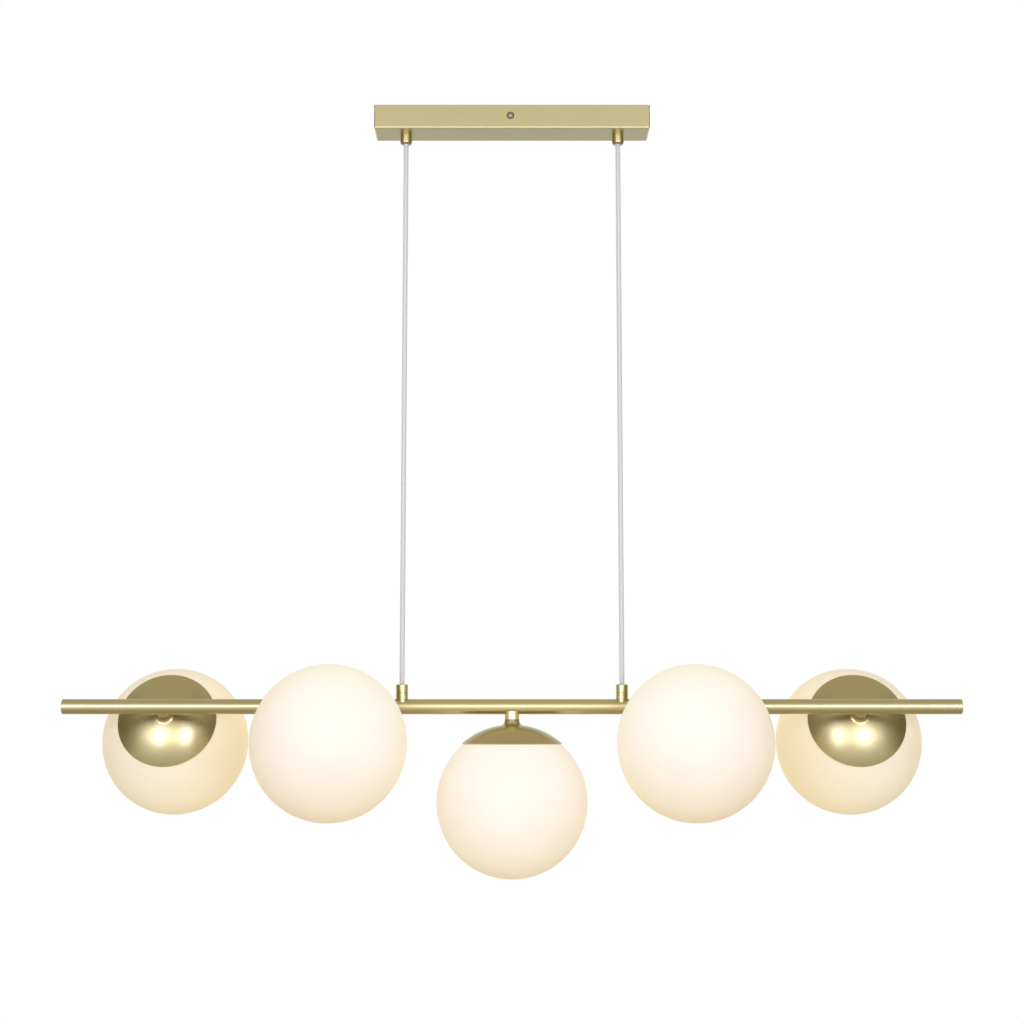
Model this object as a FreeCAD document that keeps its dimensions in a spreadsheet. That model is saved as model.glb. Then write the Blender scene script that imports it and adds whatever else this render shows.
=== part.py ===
import FreeCAD, Part
import math
import os
import Sketcher

# Linear pendant light with five opal globes on a brass bar.
# Frame: millimetres, +Z up, X along the bar, -Y towards the viewer.
# The origin is the middle of the ceiling plane.
# Every sub-part is an object of this document, and its sizes follow the sheet named Sizes.

Vector = FreeCAD.Vector
X_AXIS = Vector(1, 0, 0)
Y_AXIS = Vector(0, 1, 0)

# Driving sizes
SIZES = {
    # canopy
    "canopy_length": 284,
    "canopy_depth": 45,
    "canopy_height": 25,
    "canopy_wall": 1.5,
    "canopy_edge_radius": 1.5,
    # ceiling bracket
    "bracket_end_gap": 15.5,
    "bracket_width": 30,
    "bracket_gauge": 1.5,
    "slot_inset": 35,
    "slot_length": 20,
    "slot_width": 5,
    "supply_hole_diameter": 14,
    "supply_hole_offset": 52,
    "tab_width": 20,
    "tab_drop": 17,
    "tab_gap": 0.3,
    # canopy lock screws
    "lock_screw_drop": 11.4,
    "lock_screw_offset": 1.6,
    "lock_screw_diameter": 4,
    "lock_screw_length": 9,
    "lock_head_diameter": 7.8,
    "lock_head_height": 2.2,
    "lock_cross_length": 4.6,
    "lock_cross_width": 1.1,
    "lock_cross_depth": 1.2,
    # terminal block
    "terminal_length": 38,
    "terminal_width": 17,
    "terminal_height": 15,
    "terminal_port_depth": 5,
    "terminal_screw_diameter": 3,
    "terminal_screw_length": 5,
    "terminal_screw_spacing": 10,
    "terminal_screw_row_gap": 7,
    "terminal_slot_width": 0.6,
    "terminal_slot_depth": 0.8,
    # cords
    "cord_diameter": 5,
    "cord_inset": 32,
    "cord_clearance": 0.3,
    "cord_pivot_stand_off": 1,
    "cord_end_gap": 0.3,
    "lead_bend_radius": 8,
    "lead_drop": 12,
    # grips under the canopy
    "grip_diameter": 12.2,
    "upper_grip_length": 11,
    "upper_grip_round": 2.5,
    "upper_tail_diameter": 10,
    "upper_tail_length": 3.8,
    "tail_clearance": 0.1,
    "grip_nut_flats": 14,
    "grip_nut_height": 3,
    "bushing_diameter": 6.4,
    "bushing_length": 6,
    "bushing_proud": 0.6,
    "bushing_fit": 0.1,
    # grips on the bar
    "lower_grip_top": 22,
    "lower_grip_joint": 13.8,
    "lower_grip_round": 0.8,
    "joint_chamfer": 0.35,
    "spigot_diameter": 10,
    "spigot_length": 4,
    "collet_diameter": 8.2,
    "collet_length": 2.8,
    "grip_mouth_wall": 1.2,
    # bar
    "bar_drop": 615,
    "bar_length": 900,
    "bar_diameter": 15,
    "bar_wall": 1.2,
    "end_cap_thickness": 1.2,
    "end_cap_bulge": 1,
    "end_cap_round": 0.6,
    "end_plug_length": 6,
    "end_plug_fit": 0.1,
    # lamps
    "lamp_end_margin": 100,
    "arm_reach": 13.2,
    "arm_diameter": 14.8,
    "drop_angle": 22,
    # caps
    "cap_gap": 0.4,
    "cap_wall": 1,
    "cap_rim_radius": 49.9,
    "cap_neck_radius": 7.4,
    "cap_neck_rise": 4.4,
    "cap_fillet": 4.5,
    "cap_seat_radius": 10.9,
    "collar_wall": 2.5,
    "collar_clearance": 1.7,
    "nipple_clearance": 0.1,
    # nipples and lock nuts
    "nipple_diameter": 10,
    "nipple_bore": 7,
    "nipple_top_gap": 6.8,
    "lock_nut_flats": 14,
    "lock_nut_height": 3,
    "lock_nut_gap": 0.1,
    # lampholders
    "holder_diameter": 22,
    "holder_length": 25,
    "holder_gap": 0.3,
    "holder_socket_depth": 3.5,
    "holder_recess_diameter": 18,
    "holder_recess_depth": 3.3,
    "pin_spacing": 9,
    "pin_hole_diameter": 2.6,
    "pin_hole_depth": 12.5,
    # bulbs
    "bulb_base_diameter": 15,
    "bulb_base_length": 9,
    "bulb_diameter": 17,
    "bulb_length": 47,
    "bulb_shoulder": 2,
    "bulb_seat_gap": 0.3,
    "pin_diameter": 1.8,
    "pin_length": 11,
    # globes
    "glass_diameter": 150,
    "glass_wall": 2.5,
    "neck_diameter": 50,
    "neck_wall": 2.5,
    "shoulder_rise": 1.6,
    "rim_overlap": 3.9,
    "thread_clearance": 0.3,
    # gaskets
    "gasket_thickness": 1.4,
    "gasket_gap": 0.3,
    # wiring in the bar
    "harness_diameter": 5,
    "drop_lead_diameter": 4,
    "harness_end_margin": 12,
    # one overrun for every cut
    "overrun": 2,
}


class Size:
    """A length with the sheet formula that gives it, so that both stay together."""

    def __init__(self, value, formula):
        self.value = value
        self.formula = formula

    @staticmethod
    def of(other):
        if isinstance(other, Size):
            return other
        return Size(other, repr(other))

    def __add__(self, other):
        other = Size.of(other)
        return Size(self.value + other.value, f"({self.formula} + {other.formula})")

    def __sub__(self, other):
        other = Size.of(other)
        return Size(self.value - other.value, f"({self.formula} - {other.formula})")

    def __mul__(self, other):
        other = Size.of(other)
        return Size(self.value * other.value, f"({self.formula} * {other.formula})")

    def __truediv__(self, other):
        other = Size.of(other)
        return Size(self.value / other.value, f"({self.formula} / {other.formula})")

    def __neg__(self):
        return Size(-self.value, f"(-1 * {self.formula})")


ZERO = Size(0, "0")


def on_circle(radius, offset):
    """The other coordinate of a point on a circle round the origin."""
    value = math.sqrt(radius.value ** 2 - offset.value ** 2)
    formula = f"sqrt({radius.formula} * {radius.formula} - {offset.formula} * {offset.formula})"
    return Size(value, formula)


doc = FreeCAD.newDocument("pendant_light")
sheet = doc.addObject("Spreadsheet::Sheet", "Sizes")
for row, (size_name, size_value) in enumerate(SIZES.items(), start=1):
    sheet.set(f"A{row}", size_name)
    sheet.set(f"B{row}", str(size_value))
    sheet.setAlias(f"B{row}", size_name)
doc.recompute()

sub_parts = []


def size(name):
    return Size(float(SIZES[name]), f"Sizes.{name}")


def bind(thing, prop, length):
    thing.setExpression(prop, length.formula)


# Tools for bodies

def origin_plane(body, role):
    for feature in body.Origin.OriginFeatures:
        if feature.Role == role:
            return feature
    raise ValueError(f"no plane {role}")


def new_body(name):
    body = doc.addObject("PartDesign::Body", name)
    body.Label = name
    sub_parts.append(body)
    return body


def new_sketch(body, role, offset=ZERO):
    """A sketch on one of the body's origin planes, moved along the plane's normal."""
    sketch = body.newObject("Sketcher::SketchObject", body.Name + "_sketch")
    sketch.AttachmentSupport = [(origin_plane(body, role), "")]
    sketch.MapMode = "FlatFace"
    bind(sketch, "AttachmentOffset.Base.z", offset)
    return sketch


def pin_point(sketch, edge, end, point, axes="xy"):
    """Fix one end of an edge at a place that follows the sheet."""
    kinds = {"x": ("DistanceX", point[0], -2), "y": ("DistanceY", point[1], -1)}
    for axis_name in axes:
        kind, length, zero_line = kinds[axis_name]
        if length.value == 0:
            sketch.addConstraint(Sketcher.Constraint("PointOnObject", edge, end, zero_line))
            continue
        number = sketch.addConstraint(Sketcher.Constraint(kind, -1, 1, edge, end, length.value))
        sketch.setExpression(f"Constraints[{number}]", length.formula)


def flat(point):
    return Vector(point[0].value, point[1].value, 0)


def add_arc(sketch, centre, start, end, turn):
    """An arc between two points, whose far end is fixed across the circle's own direction."""
    middle = flat(centre)
    first, last = (flat(start), flat(end)) if turn > 0 else (flat(end), flat(start))
    first_angle = math.atan2(first.y - middle.y, first.x - middle.x)
    last_angle = math.atan2(last.y - middle.y, last.x - middle.x)
    if last_angle < first_angle:
        last_angle += 2 * math.pi
    circle = Part.Circle(middle, Vector(0, 0, 1), (first - middle).Length)
    edge = sketch.addGeometry(Part.ArcOfCircle(circle, first_angle, last_angle), False)
    pin_point(sketch, edge, 3, centre)
    arm = flat(end) - middle
    far_end = 2 if turn > 0 else 1
    pin_point(sketch, edge, far_end, end, "x" if abs(arm.y) > abs(arm.x) else "y")
    return edge, 3 - far_end, far_end


def add_outline(sketch, steps):
    """Close an outline through the steps.

    A step is a point, or (centre, point, turn) for an arc that reaches the point
    round the centre, turn being +1 against the clock and -1 with it.
    """
    ends = [step[1] if len(step) == 3 else step for step in steps]
    edges = []
    for index, step in enumerate(steps):
        start = ends[index - 1]
        end = ends[index]
        if len(step) == 3:
            edges.append(add_arc(sketch, step[0], start, end, step[2]))
        else:
            edge = sketch.addGeometry(Part.LineSegment(flat(start), flat(end)), False)
            pin_point(sketch, edge, 2, end)
            edges.append((edge, 1, 2))
    for index, (edge, near_end, _) in enumerate(edges):
        before, _, before_end = edges[index - 1]
        sketch.addConstraint(Sketcher.Constraint("Coincident", before, before_end, edge, near_end))


def add_rectangle(sketch, low_x, low_y, high_x, high_y):
    add_outline(sketch, [(low_x, low_y), (high_x, low_y), (high_x, high_y), (low_x, high_y)])


def add_circle(sketch, x_place, y_place, radius):
    centre = Vector(x_place.value, y_place.value, 0)
    edge = sketch.addGeometry(Part.Circle(centre, Vector(0, 0, 1), radius.value), False)
    if x_place.value == 0 and y_place.value == 0:
        sketch.addConstraint(Sketcher.Constraint("Coincident", edge, 3, -1, 1))
    else:
        pin_point(sketch, edge, 3, (x_place, y_place))
    number = sketch.addConstraint(Sketcher.Constraint("Radius", edge, radius.value))
    sketch.setExpression(f"Constraints[{number}]", radius.formula)


def add_slot(sketch, x_place, length, width):
    """A slot along X with round ends, centred on the X axis."""
    reach = (length - width) / 2
    radius = width / 2
    left = x_place - reach
    right = x_place + reach
    steps = [
        (right, -radius),
        ((right, ZERO), (right, radius), 1),
        (left, radius),
        ((left, ZERO), (left, -radius), 1),
    ]
    add_outline(sketch, steps)


def pad(body, sketch, length, downwards=False, both_ways=False):
    feature = body.newObject("PartDesign::Pad", body.Name + "_pad")
    feature.Profile = sketch
    feature.Reversed = downwards
    if both_ways:
        feature.SideType = "Symmetric"
    bind(feature, "Length", length)
    return feature


def pocket(body, sketch, length, reverse=False, both_ways=False):
    feature = body.newObject("PartDesign::Pocket", body.Name + "_pocket")
    feature.Profile = sketch
    feature.Reversed = reverse
    if both_ways:
        feature.SideType = "Symmetric"
    bind(feature, "Length", length)
    return feature


def revolve(body, sketch, axis="V_Axis"):
    feature = body.newObject("PartDesign::Revolution", body.Name + "_revolution")
    feature.Profile = sketch
    feature.ReferenceAxis = (sketch, [axis])
    feature.Angle = 360
    return feature


def turned(name, steps):
    """A body turned round its own Z axis from an outline of radius and height."""
    body = new_body(name)
    sketch = new_sketch(body, "XZ_Plane")
    add_outline(sketch, steps)
    revolve(body, sketch)
    return body


def place(thing, x_place=ZERO, y_place=ZERO, z_place=ZERO):
    bind(thing, "Placement.Base.x", x_place)
    bind(thing, "Placement.Base.y", y_place)
    bind(thing, "Placement.Base.z", z_place)


# Tools for primitives

def helper(kind, name, **lengths):
    thing = doc.addObject(kind, name)
    for prop, length in lengths.items():
        bind(thing, prop, length)
    return thing


def cylinder(name, radius, length, start=None):
    """A cylinder along Z that starts at the given place."""
    thing = helper("Part::Cylinder", name, Radius=radius, Height=length)
    if start is not None:
        place(thing, *start)
    return thing


def named(thing, name):
    thing.Label = name
    sub_parts.append(thing)
    return thing


def fused(name, shapes):
    thing = doc.addObject("Part::MultiFuse", name)
    thing.Shapes = shapes
    return thing


def cut(name, base, tool):
    thing = doc.addObject("Part::Cut", name)
    thing.Base = base
    thing.Tool = tool
    return thing


def grouped(name, things):
    thing = doc.addObject("Part::Compound", name)
    thing.Links = things
    return named(thing, name)


# Places that several pieces share

SIDES = (("left", -1), ("right", 1))
cord_radius = size("cord_diameter") / 2
cord_bore = cord_radius + size("cord_clearance")
cord_half_spacing = size("canopy_length") / 2 - size("cord_inset")
grip_radius = size("grip_diameter") / 2
canopy_floor = size("canopy_wall") - size("canopy_height")
grip_mouth = -(size("canopy_height") + size("upper_grip_length"))
upper_pivot = grip_mouth - size("cord_pivot_stand_off")
bar_height = -size("bar_drop")
bar_radius = size("bar_diameter") / 2
lower_pivot = size("lower_grip_top") + size("cord_pivot_stand_off")
ball_to_cord = cord_radius + size("cord_end_gap")
overrun = size("overrun")


def side_place(sign):
    return cord_half_spacing * sign


# Ceiling bracket: a strip with slots, a supply hole and two lock tabs

def make_bracket():
    body = new_body("ceiling_bracket")
    half_length = size("canopy_length") / 2 - size("canopy_wall") - size("bracket_end_gap")
    half_width = size("bracket_width") / 2
    gauge = size("bracket_gauge")
    tab_reach = size("canopy_depth") / 2 - size("canopy_wall") - size("tab_gap")
    tab_half = size("tab_width") / 2
    strip = new_sketch(body, "XY_Plane")
    add_rectangle(strip, -half_length, -half_width, half_length, half_width)
    for sign in (-1, 1):
        slot_place = (half_length - size("slot_inset")) * sign
        add_slot(strip, slot_place, size("slot_length"), size("slot_width"))
    add_circle(strip, size("supply_hole_offset"), ZERO, size("supply_hole_diameter") / 2)
    pad(body, strip, gauge, downwards=True)
    cross = new_sketch(body, "XY_Plane")
    add_rectangle(cross, -tab_half, -tab_reach, tab_half, tab_reach)
    pad(body, cross, gauge, downwards=True)
    for sign in (-1, 1):
        drop = new_sketch(body, "XY_Plane")
        outer = tab_reach * sign
        inner = (tab_reach - gauge) * sign
        add_rectangle(drop, -tab_half, outer, tab_half, inner)
        pad(body, drop, size("tab_drop"), downwards=True)
    holes = new_sketch(body, "XZ_Plane")
    hole_radius = size("lock_screw_diameter") / 2 + size("tail_clearance")
    add_circle(holes, -size("lock_screw_offset"), -size("lock_screw_drop"), hole_radius)
    pocket(body, holes, size("canopy_depth"), both_ways=True)
    return body


# Canopy shell: a folded box, open at the ceiling

def make_canopy():
    body = new_body("canopy_shell")
    half_length = size("canopy_length") / 2
    half_depth = size("canopy_depth") / 2
    wall = size("canopy_wall")
    outer = new_sketch(body, "XY_Plane")
    add_rectangle(outer, -half_length, -half_depth, half_length, half_depth)
    block = pad(body, outer, size("canopy_height"), downwards=True)
    doc.recompute()
    rounded = []
    for index, edge in enumerate(block.Shape.Edges, start=1):
        if edge.BoundBox.ZMin < canopy_floor.value:
            rounded.append(f"Edge{index}")
    edges = body.newObject("PartDesign::Fillet", "canopy_edges")
    edges.Base = (block, rounded)
    bind(edges, "Radius", size("canopy_edge_radius"))
    inner = new_sketch(body, "XY_Plane")
    add_rectangle(inner, wall - half_length, wall - half_depth, half_length - wall, half_depth - wall)
    pocket(body, inner, size("canopy_height") - wall)
    grip_holes = new_sketch(body, "XY_Plane")
    for _, sign in SIDES:
        hole_radius = size("upper_tail_diameter") / 2 + size("tail_clearance")
        add_circle(grip_holes, side_place(sign), ZERO, hole_radius)
    pocket(body, grip_holes, size("canopy_height") + overrun)
    screw_holes = new_sketch(body, "XZ_Plane")
    screw_radius = size("lock_screw_diameter") / 2 + size("tail_clearance")
    add_circle(screw_holes, -size("lock_screw_offset"), -size("lock_screw_drop"), screw_radius)
    pocket(body, screw_holes, size("canopy_depth") + overrun, both_ways=True)
    return body


# Lock screws: round heads with a cross, in the front and back faces

def make_lock_screw(name, turn):
    head_radius = size("lock_head_diameter") / 2
    head_height = size("lock_head_height")
    shank_radius = size("lock_screw_diameter") / 2
    dome_radius = (head_radius * head_radius + head_height * head_height) / (head_height * 2)
    dome_centre = (ZERO, head_height - dome_radius)
    head = doc.addObject("PartDesign::Body", name)
    outline = new_sketch(head, "XZ_Plane")
    steps = [
        (ZERO, -size("lock_screw_length")),
        (shank_radius, -size("lock_screw_length")),
        (shank_radius, ZERO),
        (head_radius, ZERO),
        (dome_centre, (ZERO, head_height), 1),
    ]
    add_outline(outline, steps)
    revolve(head, outline)
    for along in (True, False):
        cross = new_sketch(head, "XY_Plane", head_height)
        long_half = size("lock_cross_length") / 2
        short_half = size("lock_cross_width") / 2
        reach = (long_half, short_half) if along else (short_half, long_half)
        add_rectangle(cross, -reach[0], -reach[1], reach[0], reach[1])
        pocket(head, cross, size("lock_cross_depth"))
    face = size("canopy_depth") / 2 * turn
    place(head, -size("lock_screw_offset"), face, -size("lock_screw_drop"))
    head.Placement.Rotation = FreeCAD.Rotation(X_AXIS, -90 * turn)
    return head


def make_lock_screws():
    screws = [make_lock_screw("front_lock_screw", -1), make_lock_screw("back_lock_screw", 1)]
    grouped("canopy_lock_screws", screws)


# Terminal block under the bracket, with its screws

def make_terminal_block():
    body = new_body("terminal_block")
    half_length = size("terminal_length") / 2
    half_width = size("terminal_width") / 2
    top = -size("bracket_gauge")
    block = new_sketch(body, "XY_Plane", top)
    add_rectangle(block, -half_length, -half_width, half_length, half_width)
    pad(body, block, size("terminal_height"), downwards=True)
    for sign in (-1, 1):
        port = new_sketch(body, "YZ_Plane", half_length * sign)
        add_circle(port, ZERO, -size("lead_drop"), cord_bore)
        pocket(body, port, size("terminal_port_depth"), reverse=sign < 0)
    wells = new_sketch(body, "XY_Plane", top - size("terminal_height"))
    well_radius = size("terminal_screw_diameter") / 2 + size("tail_clearance")
    for x_place, y_place in terminal_screw_places():
        add_circle(wells, x_place, y_place, well_radius)
    pocket(body, wells, size("terminal_screw_length"), reverse=True)
    return body


def terminal_screw_places():
    half_row = size("terminal_screw_row_gap") / 2
    for column in (-1, 0, 1):
        for row_sign in (-1, 1):
            yield size("terminal_screw_spacing") * column, half_row * row_sign


def make_terminal_screws():
    screws = []
    bottom = -(size("bracket_gauge") + size("terminal_height"))
    radius = size("terminal_screw_diameter") / 2
    depth = size("terminal_slot_depth")
    for number, (x_place, y_place) in enumerate(terminal_screw_places(), start=1):
        name = f"terminal_screw_{number}"
        shank = cylinder(name + "_shank", radius, size("terminal_screw_length"), (x_place, y_place, bottom))
        slot = helper(
            "Part::Box", name + "_slot",
            Length=radius * 2 + overrun,
            Width=size("terminal_slot_width"),
            Height=depth + overrun,
        )
        slot_x = x_place - radius - overrun / 2
        slot_y = y_place - size("terminal_slot_width") / 2
        place(slot, slot_x, slot_y, bottom - overrun)
        screws.append(cut(name, shank, slot))
    grouped("terminal_screws", screws)


# Leads inside the canopy: up from each grip, round a bend and into the block

def make_canopy_lead(side, sign):
    bend = size("lead_bend_radius")
    bottom = upper_pivot + ball_to_cord
    corner = -size("lead_drop")
    inner_end = size("terminal_length") / 2 - size("terminal_port_depth") + size("cord_end_gap")
    foot = (side_place(sign), ZERO, bottom)
    rise = cylinder(f"lead_{side}_rise", cord_radius, corner - bend - bottom, foot)
    elbow = helper("Part::Torus", f"lead_{side}_elbow", Radius1=bend, Radius2=cord_radius)
    elbow.Angle3 = 90
    place(elbow, side_place(sign) - bend * sign, ZERO, corner - bend)
    about_z = FreeCAD.Rotation(Vector(0, 0, 1), 0 if sign > 0 else 90)
    elbow.Placement.Rotation = FreeCAD.Rotation(X_AXIS, 90) * about_z
    run_length = cord_half_spacing - bend - inner_end
    run = cylinder(f"lead_{side}_run", cord_radius, run_length, (inner_end * sign, ZERO, corner))
    run.Placement.Rotation = FreeCAD.Rotation(Y_AXIS, 90 * sign)
    named(fused(f"canopy_lead_{side}", [rise, elbow, run]), f"canopy_lead_{side}")


# Grips under the canopy

def make_upper_grip(side, sign):
    tail_radius = size("upper_tail_diameter") / 2
    tail_top = canopy_floor + size("upper_tail_length")
    underside = -size("canopy_height")
    corner = size("upper_grip_round")
    bushing_seat = size("bushing_diameter") / 2 + size("bushing_fit")
    bushing_top = grip_mouth - size("bushing_proud") + size("bushing_length") + size("bushing_fit")
    steps = [
        (bushing_seat, grip_mouth),
        (grip_radius - corner, grip_mouth),
        ((grip_radius - corner, grip_mouth + corner), (grip_radius, grip_mouth + corner), 1),
        (grip_radius, underside),
        (tail_radius, underside),
        (tail_radius, tail_top),
        (cord_bore, tail_top),
        (cord_bore, bushing_top),
        (bushing_seat, bushing_top),
    ]
    body = turned(f"upper_grip_{side}", steps)
    place(body, side_place(sign))
    return body


def make_upper_nut(side, sign):
    body = doc.addObject("PartDesign::Body", f"upper_nut_{side}")
    outline = new_sketch(body, "XY_Plane", canopy_floor)
    add_hexagon(outline, size("grip_nut_flats"))
    add_circle(outline, ZERO, ZERO, size("upper_tail_diameter") / 2 + size("tail_clearance"))
    pad(body, outline, size("grip_nut_height"))
    place(body, side_place(sign))
    return body


HEXAGON_CORNER_SHARE = 1 / math.sqrt(3)


def add_hexagon(sketch, flats):
    """A hexagon round the origin with two flats across Y."""
    half_flats = flats / 2
    corner = flats * HEXAGON_CORNER_SHARE
    half_corner = corner / 2
    points = [
        (corner, ZERO),
        (half_corner, half_flats),
        (-half_corner, half_flats),
        (-corner, ZERO),
        (-half_corner, -half_flats),
        (half_corner, -half_flats),
    ]
    add_outline(sketch, points)


def make_bushing(side, sign):
    body = doc.addObject("PartDesign::Body", f"bushing_{side}")
    outline = new_sketch(body, "XZ_Plane")
    bottom = grip_mouth - size("bushing_proud")
    outer = size("bushing_diameter") / 2
    add_rectangle(outline, cord_bore, bottom, outer, bottom + size("bushing_length"))
    revolve(body, outline)
    place(body, side_place(sign))
    return body


# Cords: a ball at each end, where the cord bends as the lamp swings, and the straight run between

def make_cord(side, sign):
    run_top = upper_pivot - ball_to_cord
    run_bottom = bar_height + lower_pivot + ball_to_cord
    run = cylinder(f"cord_{side}", cord_radius, run_top - run_bottom, (side_place(sign), ZERO, run_bottom))
    named(run, f"cord_{side}")
    for name, height in ((f"cord_top_{side}", upper_pivot), (f"cord_foot_{side}", bar_height + lower_pivot)):
        ball = helper("Part::Sphere", name, Radius=cord_radius)
        place(ball, side_place(sign), ZERO, height)
        named(ball, name)


# Bar: tube with drilled holes, and a domed cap at each end

LAMP_SHARES = (
    # number, place along the bar as a share of the pitch, tilt from straight down: back, front or none
    (1, -2, 1),
    (2, -1, -1),
    (3, 0, 0),
    (4, 1, -1),
    (5, 2, 1),
)


lamp_pitch = (size("bar_length") / 2 - size("lamp_end_margin")) / 2


def lamp_place(pitches):
    return lamp_pitch * pitches


def place_lamp_piece(thing, pitches, tilt):
    """Set a piece, made below the bar axis, on its lamp's arm direction."""
    place(thing, lamp_place(pitches), ZERO, bar_height)
    thing.Placement.Rotation = FreeCAD.Rotation(X_AXIS, 1)
    right_angle = Size(90, "90")
    bind(thing, "Placement.Rotation.Angle", (right_angle - size("drop_angle")) * tilt)


glass_radius = size("glass_diameter") / 2
cap_inner_radius = glass_radius + size("cap_gap")
cap_outer_radius = cap_inner_radius + size("cap_wall")
neck_radius = size("neck_diameter") / 2
nipple_radius = size("nipple_diameter") / 2
nipple_hole = nipple_radius + size("nipple_clearance")

# how far below the bar axis the arms end, as a share of the bar's radius
arm_top_share = 0.6

# heights from the globe's centre, up the arm
cap_neck_top = cap_outer_radius + size("cap_neck_rise")
cap_seat_height = on_circle(cap_inner_radius, size("cap_seat_radius"))
gasket_top = on_circle(cap_inner_radius, neck_radius) - size("gasket_gap")
neck_top = gasket_top - size("gasket_thickness") - size("gasket_gap")
shoulder_radius = size("cap_rim_radius") - size("rim_overlap")
neck_shoulder = on_circle(glass_radius, shoulder_radius) + size("shoulder_rise")
holder_top = cap_seat_height - size("lock_nut_gap") - size("lock_nut_height") - size("holder_gap")
arm_length = size("arm_reach") + cap_neck_top
globe_centre = (ZERO, -arm_length)


def along_arm(height):
    """Height below the bar axis of a place given from the globe's centre."""
    return height - arm_length


def make_bar_tube():
    half_length = size("bar_length") / 2 - size("end_cap_thickness") - size("end_cap_bulge")
    outer = cylinder("bar_outside", bar_radius, half_length * 2, (-half_length, ZERO, bar_height))
    outer.Placement.Rotation = FreeCAD.Rotation(Y_AXIS, 90)
    inner_radius = bar_radius - size("bar_wall")
    inner_start = -half_length - overrun
    inner_length = (half_length + overrun) * 2
    inner = cylinder("bar_inside", inner_radius, inner_length, (inner_start, ZERO, bar_height))
    inner.Placement.Rotation = FreeCAD.Rotation(Y_AXIS, 90)
    tools = [inner]
    drill_radius = size("nipple_diameter") / 2 + size("nipple_clearance")
    for number, pitches, tilt in LAMP_SHARES:
        drill_start = (ZERO, ZERO, -bar_radius - overrun)
        drill = cylinder(f"arm_drill_{number}", drill_radius, bar_radius + overrun, drill_start)
        turned_drill = doc.addObject("Part::Compound", f"arm_hole_{number}")
        turned_drill.Links = [drill]
        place_lamp_piece(turned_drill, pitches, tilt)
        tools.append(turned_drill)
    for side, sign in SIDES:
        drill_start = (side_place(sign), ZERO, bar_height)
        tools.append(cylinder(f"grip_hole_{side}", cord_bore, bar_radius + overrun, drill_start))
    named(cut("bar_tube", outer, fused("bar_holes", tools)), "bar_tube")


def make_end_cap(side, sign):
    """Turned round Z, then laid along X: a plug in the tube, a flange and a shallow dome."""
    plug_radius = bar_radius - size("bar_wall") - size("end_plug_fit")
    flange = size("end_cap_thickness")
    bulge = size("end_cap_bulge")
    corner = size("end_cap_round")
    crown_radius = bar_radius - corner
    dome_radius = (crown_radius * crown_radius + bulge * bulge) / (bulge * 2)
    steps = [
        (ZERO, -size("end_plug_length")),
        (plug_radius, -size("end_plug_length")),
        (plug_radius, ZERO),
        (bar_radius, ZERO),
        (bar_radius, flange - corner),
        ((crown_radius, flange - corner), (crown_radius, flange), 1),
        ((ZERO, flange + bulge - dome_radius), (ZERO, flange + bulge), 1),
    ]
    body = turned(f"end_cap_{side}", steps)
    tube_end = size("bar_length") / 2 - flange - bulge
    place(body, tube_end * sign, ZERO, bar_height)
    body.Placement.Rotation = FreeCAD.Rotation(Y_AXIS, 90 * sign)
    return body


# Grips on the bar: a base brazed to the tube, a nut and the collet that holds the cord

def make_lower_base(side, sign):
    joint = size("lower_grip_joint")
    chamfer = size("joint_chamfer")
    spigot_radius = size("spigot_diameter") / 2
    spigot_top = joint + size("spigot_length")
    steps = [
        (cord_bore, ZERO),
        (grip_radius, ZERO),
        (grip_radius, joint - chamfer),
        (grip_radius - chamfer, joint),
        (spigot_radius, joint),
        (spigot_radius, spigot_top),
        (cord_bore, spigot_top),
    ]
    body = turned(f"lower_grip_base_{side}", steps)
    saddle = new_sketch(body, "YZ_Plane")
    add_circle(saddle, ZERO, ZERO, bar_radius)
    pocket(body, saddle, size("grip_diameter") + overrun, both_ways=True)
    place(body, side_place(sign), ZERO, bar_height)
    return body


def make_lower_nut(side, sign):
    joint = size("lower_grip_joint")
    top = size("lower_grip_top")
    chamfer = size("joint_chamfer")
    corner = size("lower_grip_round")
    spigot_bore = size("spigot_diameter") / 2 + size("tail_clearance")
    spigot_top = joint + size("spigot_length") + size("tail_clearance")
    collet_bore = size("collet_diameter") / 2 + size("tail_clearance")
    collet_top = top - size("grip_mouth_wall")
    steps = [
        (spigot_bore, joint),
        (grip_radius - chamfer, joint),
        (grip_radius, joint + chamfer),
        (grip_radius, top - corner),
        ((grip_radius - corner, top - corner), (grip_radius - corner, top), 1),
        (cord_bore, top),
        (cord_bore, collet_top),
        (collet_bore, collet_top),
        (collet_bore, spigot_top),
        (spigot_bore, spigot_top),
    ]
    body = turned(f"lower_grip_nut_{side}", steps)
    place(body, side_place(sign), ZERO, bar_height)
    return body


def make_collet(side, sign):
    body = doc.addObject("PartDesign::Body", f"collet_{side}")
    outline = new_sketch(body, "XZ_Plane")
    top = size("lower_grip_top") - size("grip_mouth_wall") - size("tail_clearance")
    bottom = top - size("collet_length")
    add_rectangle(outline, cord_bore, bottom, size("collet_diameter") / 2, top)
    revolve(body, outline)
    place(body, side_place(sign), ZERO, bar_height)
    return body


# Lamps: arm, nipple, cap, nut, lampholder, bulb, gasket and globe, each below the bar axis

def make_arm(number, pitches, tilt):
    bottom = along_arm(cap_neck_top)
    top = -(bar_radius * arm_top_share)
    outer = size("arm_diameter") / 2
    chamfer = size("joint_chamfer")
    steps = [
        (nipple_hole, bottom),
        (outer - chamfer, bottom),
        (outer, bottom + chamfer),
        (outer, top),
        (nipple_hole, top),
    ]
    body = turned(f"arm_{number}", steps)
    saddle = new_sketch(body, "YZ_Plane")
    add_circle(saddle, ZERO, ZERO, bar_radius)
    pocket(body, saddle, size("arm_diameter") + overrun, both_ways=True)
    place_lamp_piece(body, pitches, tilt)


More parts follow.
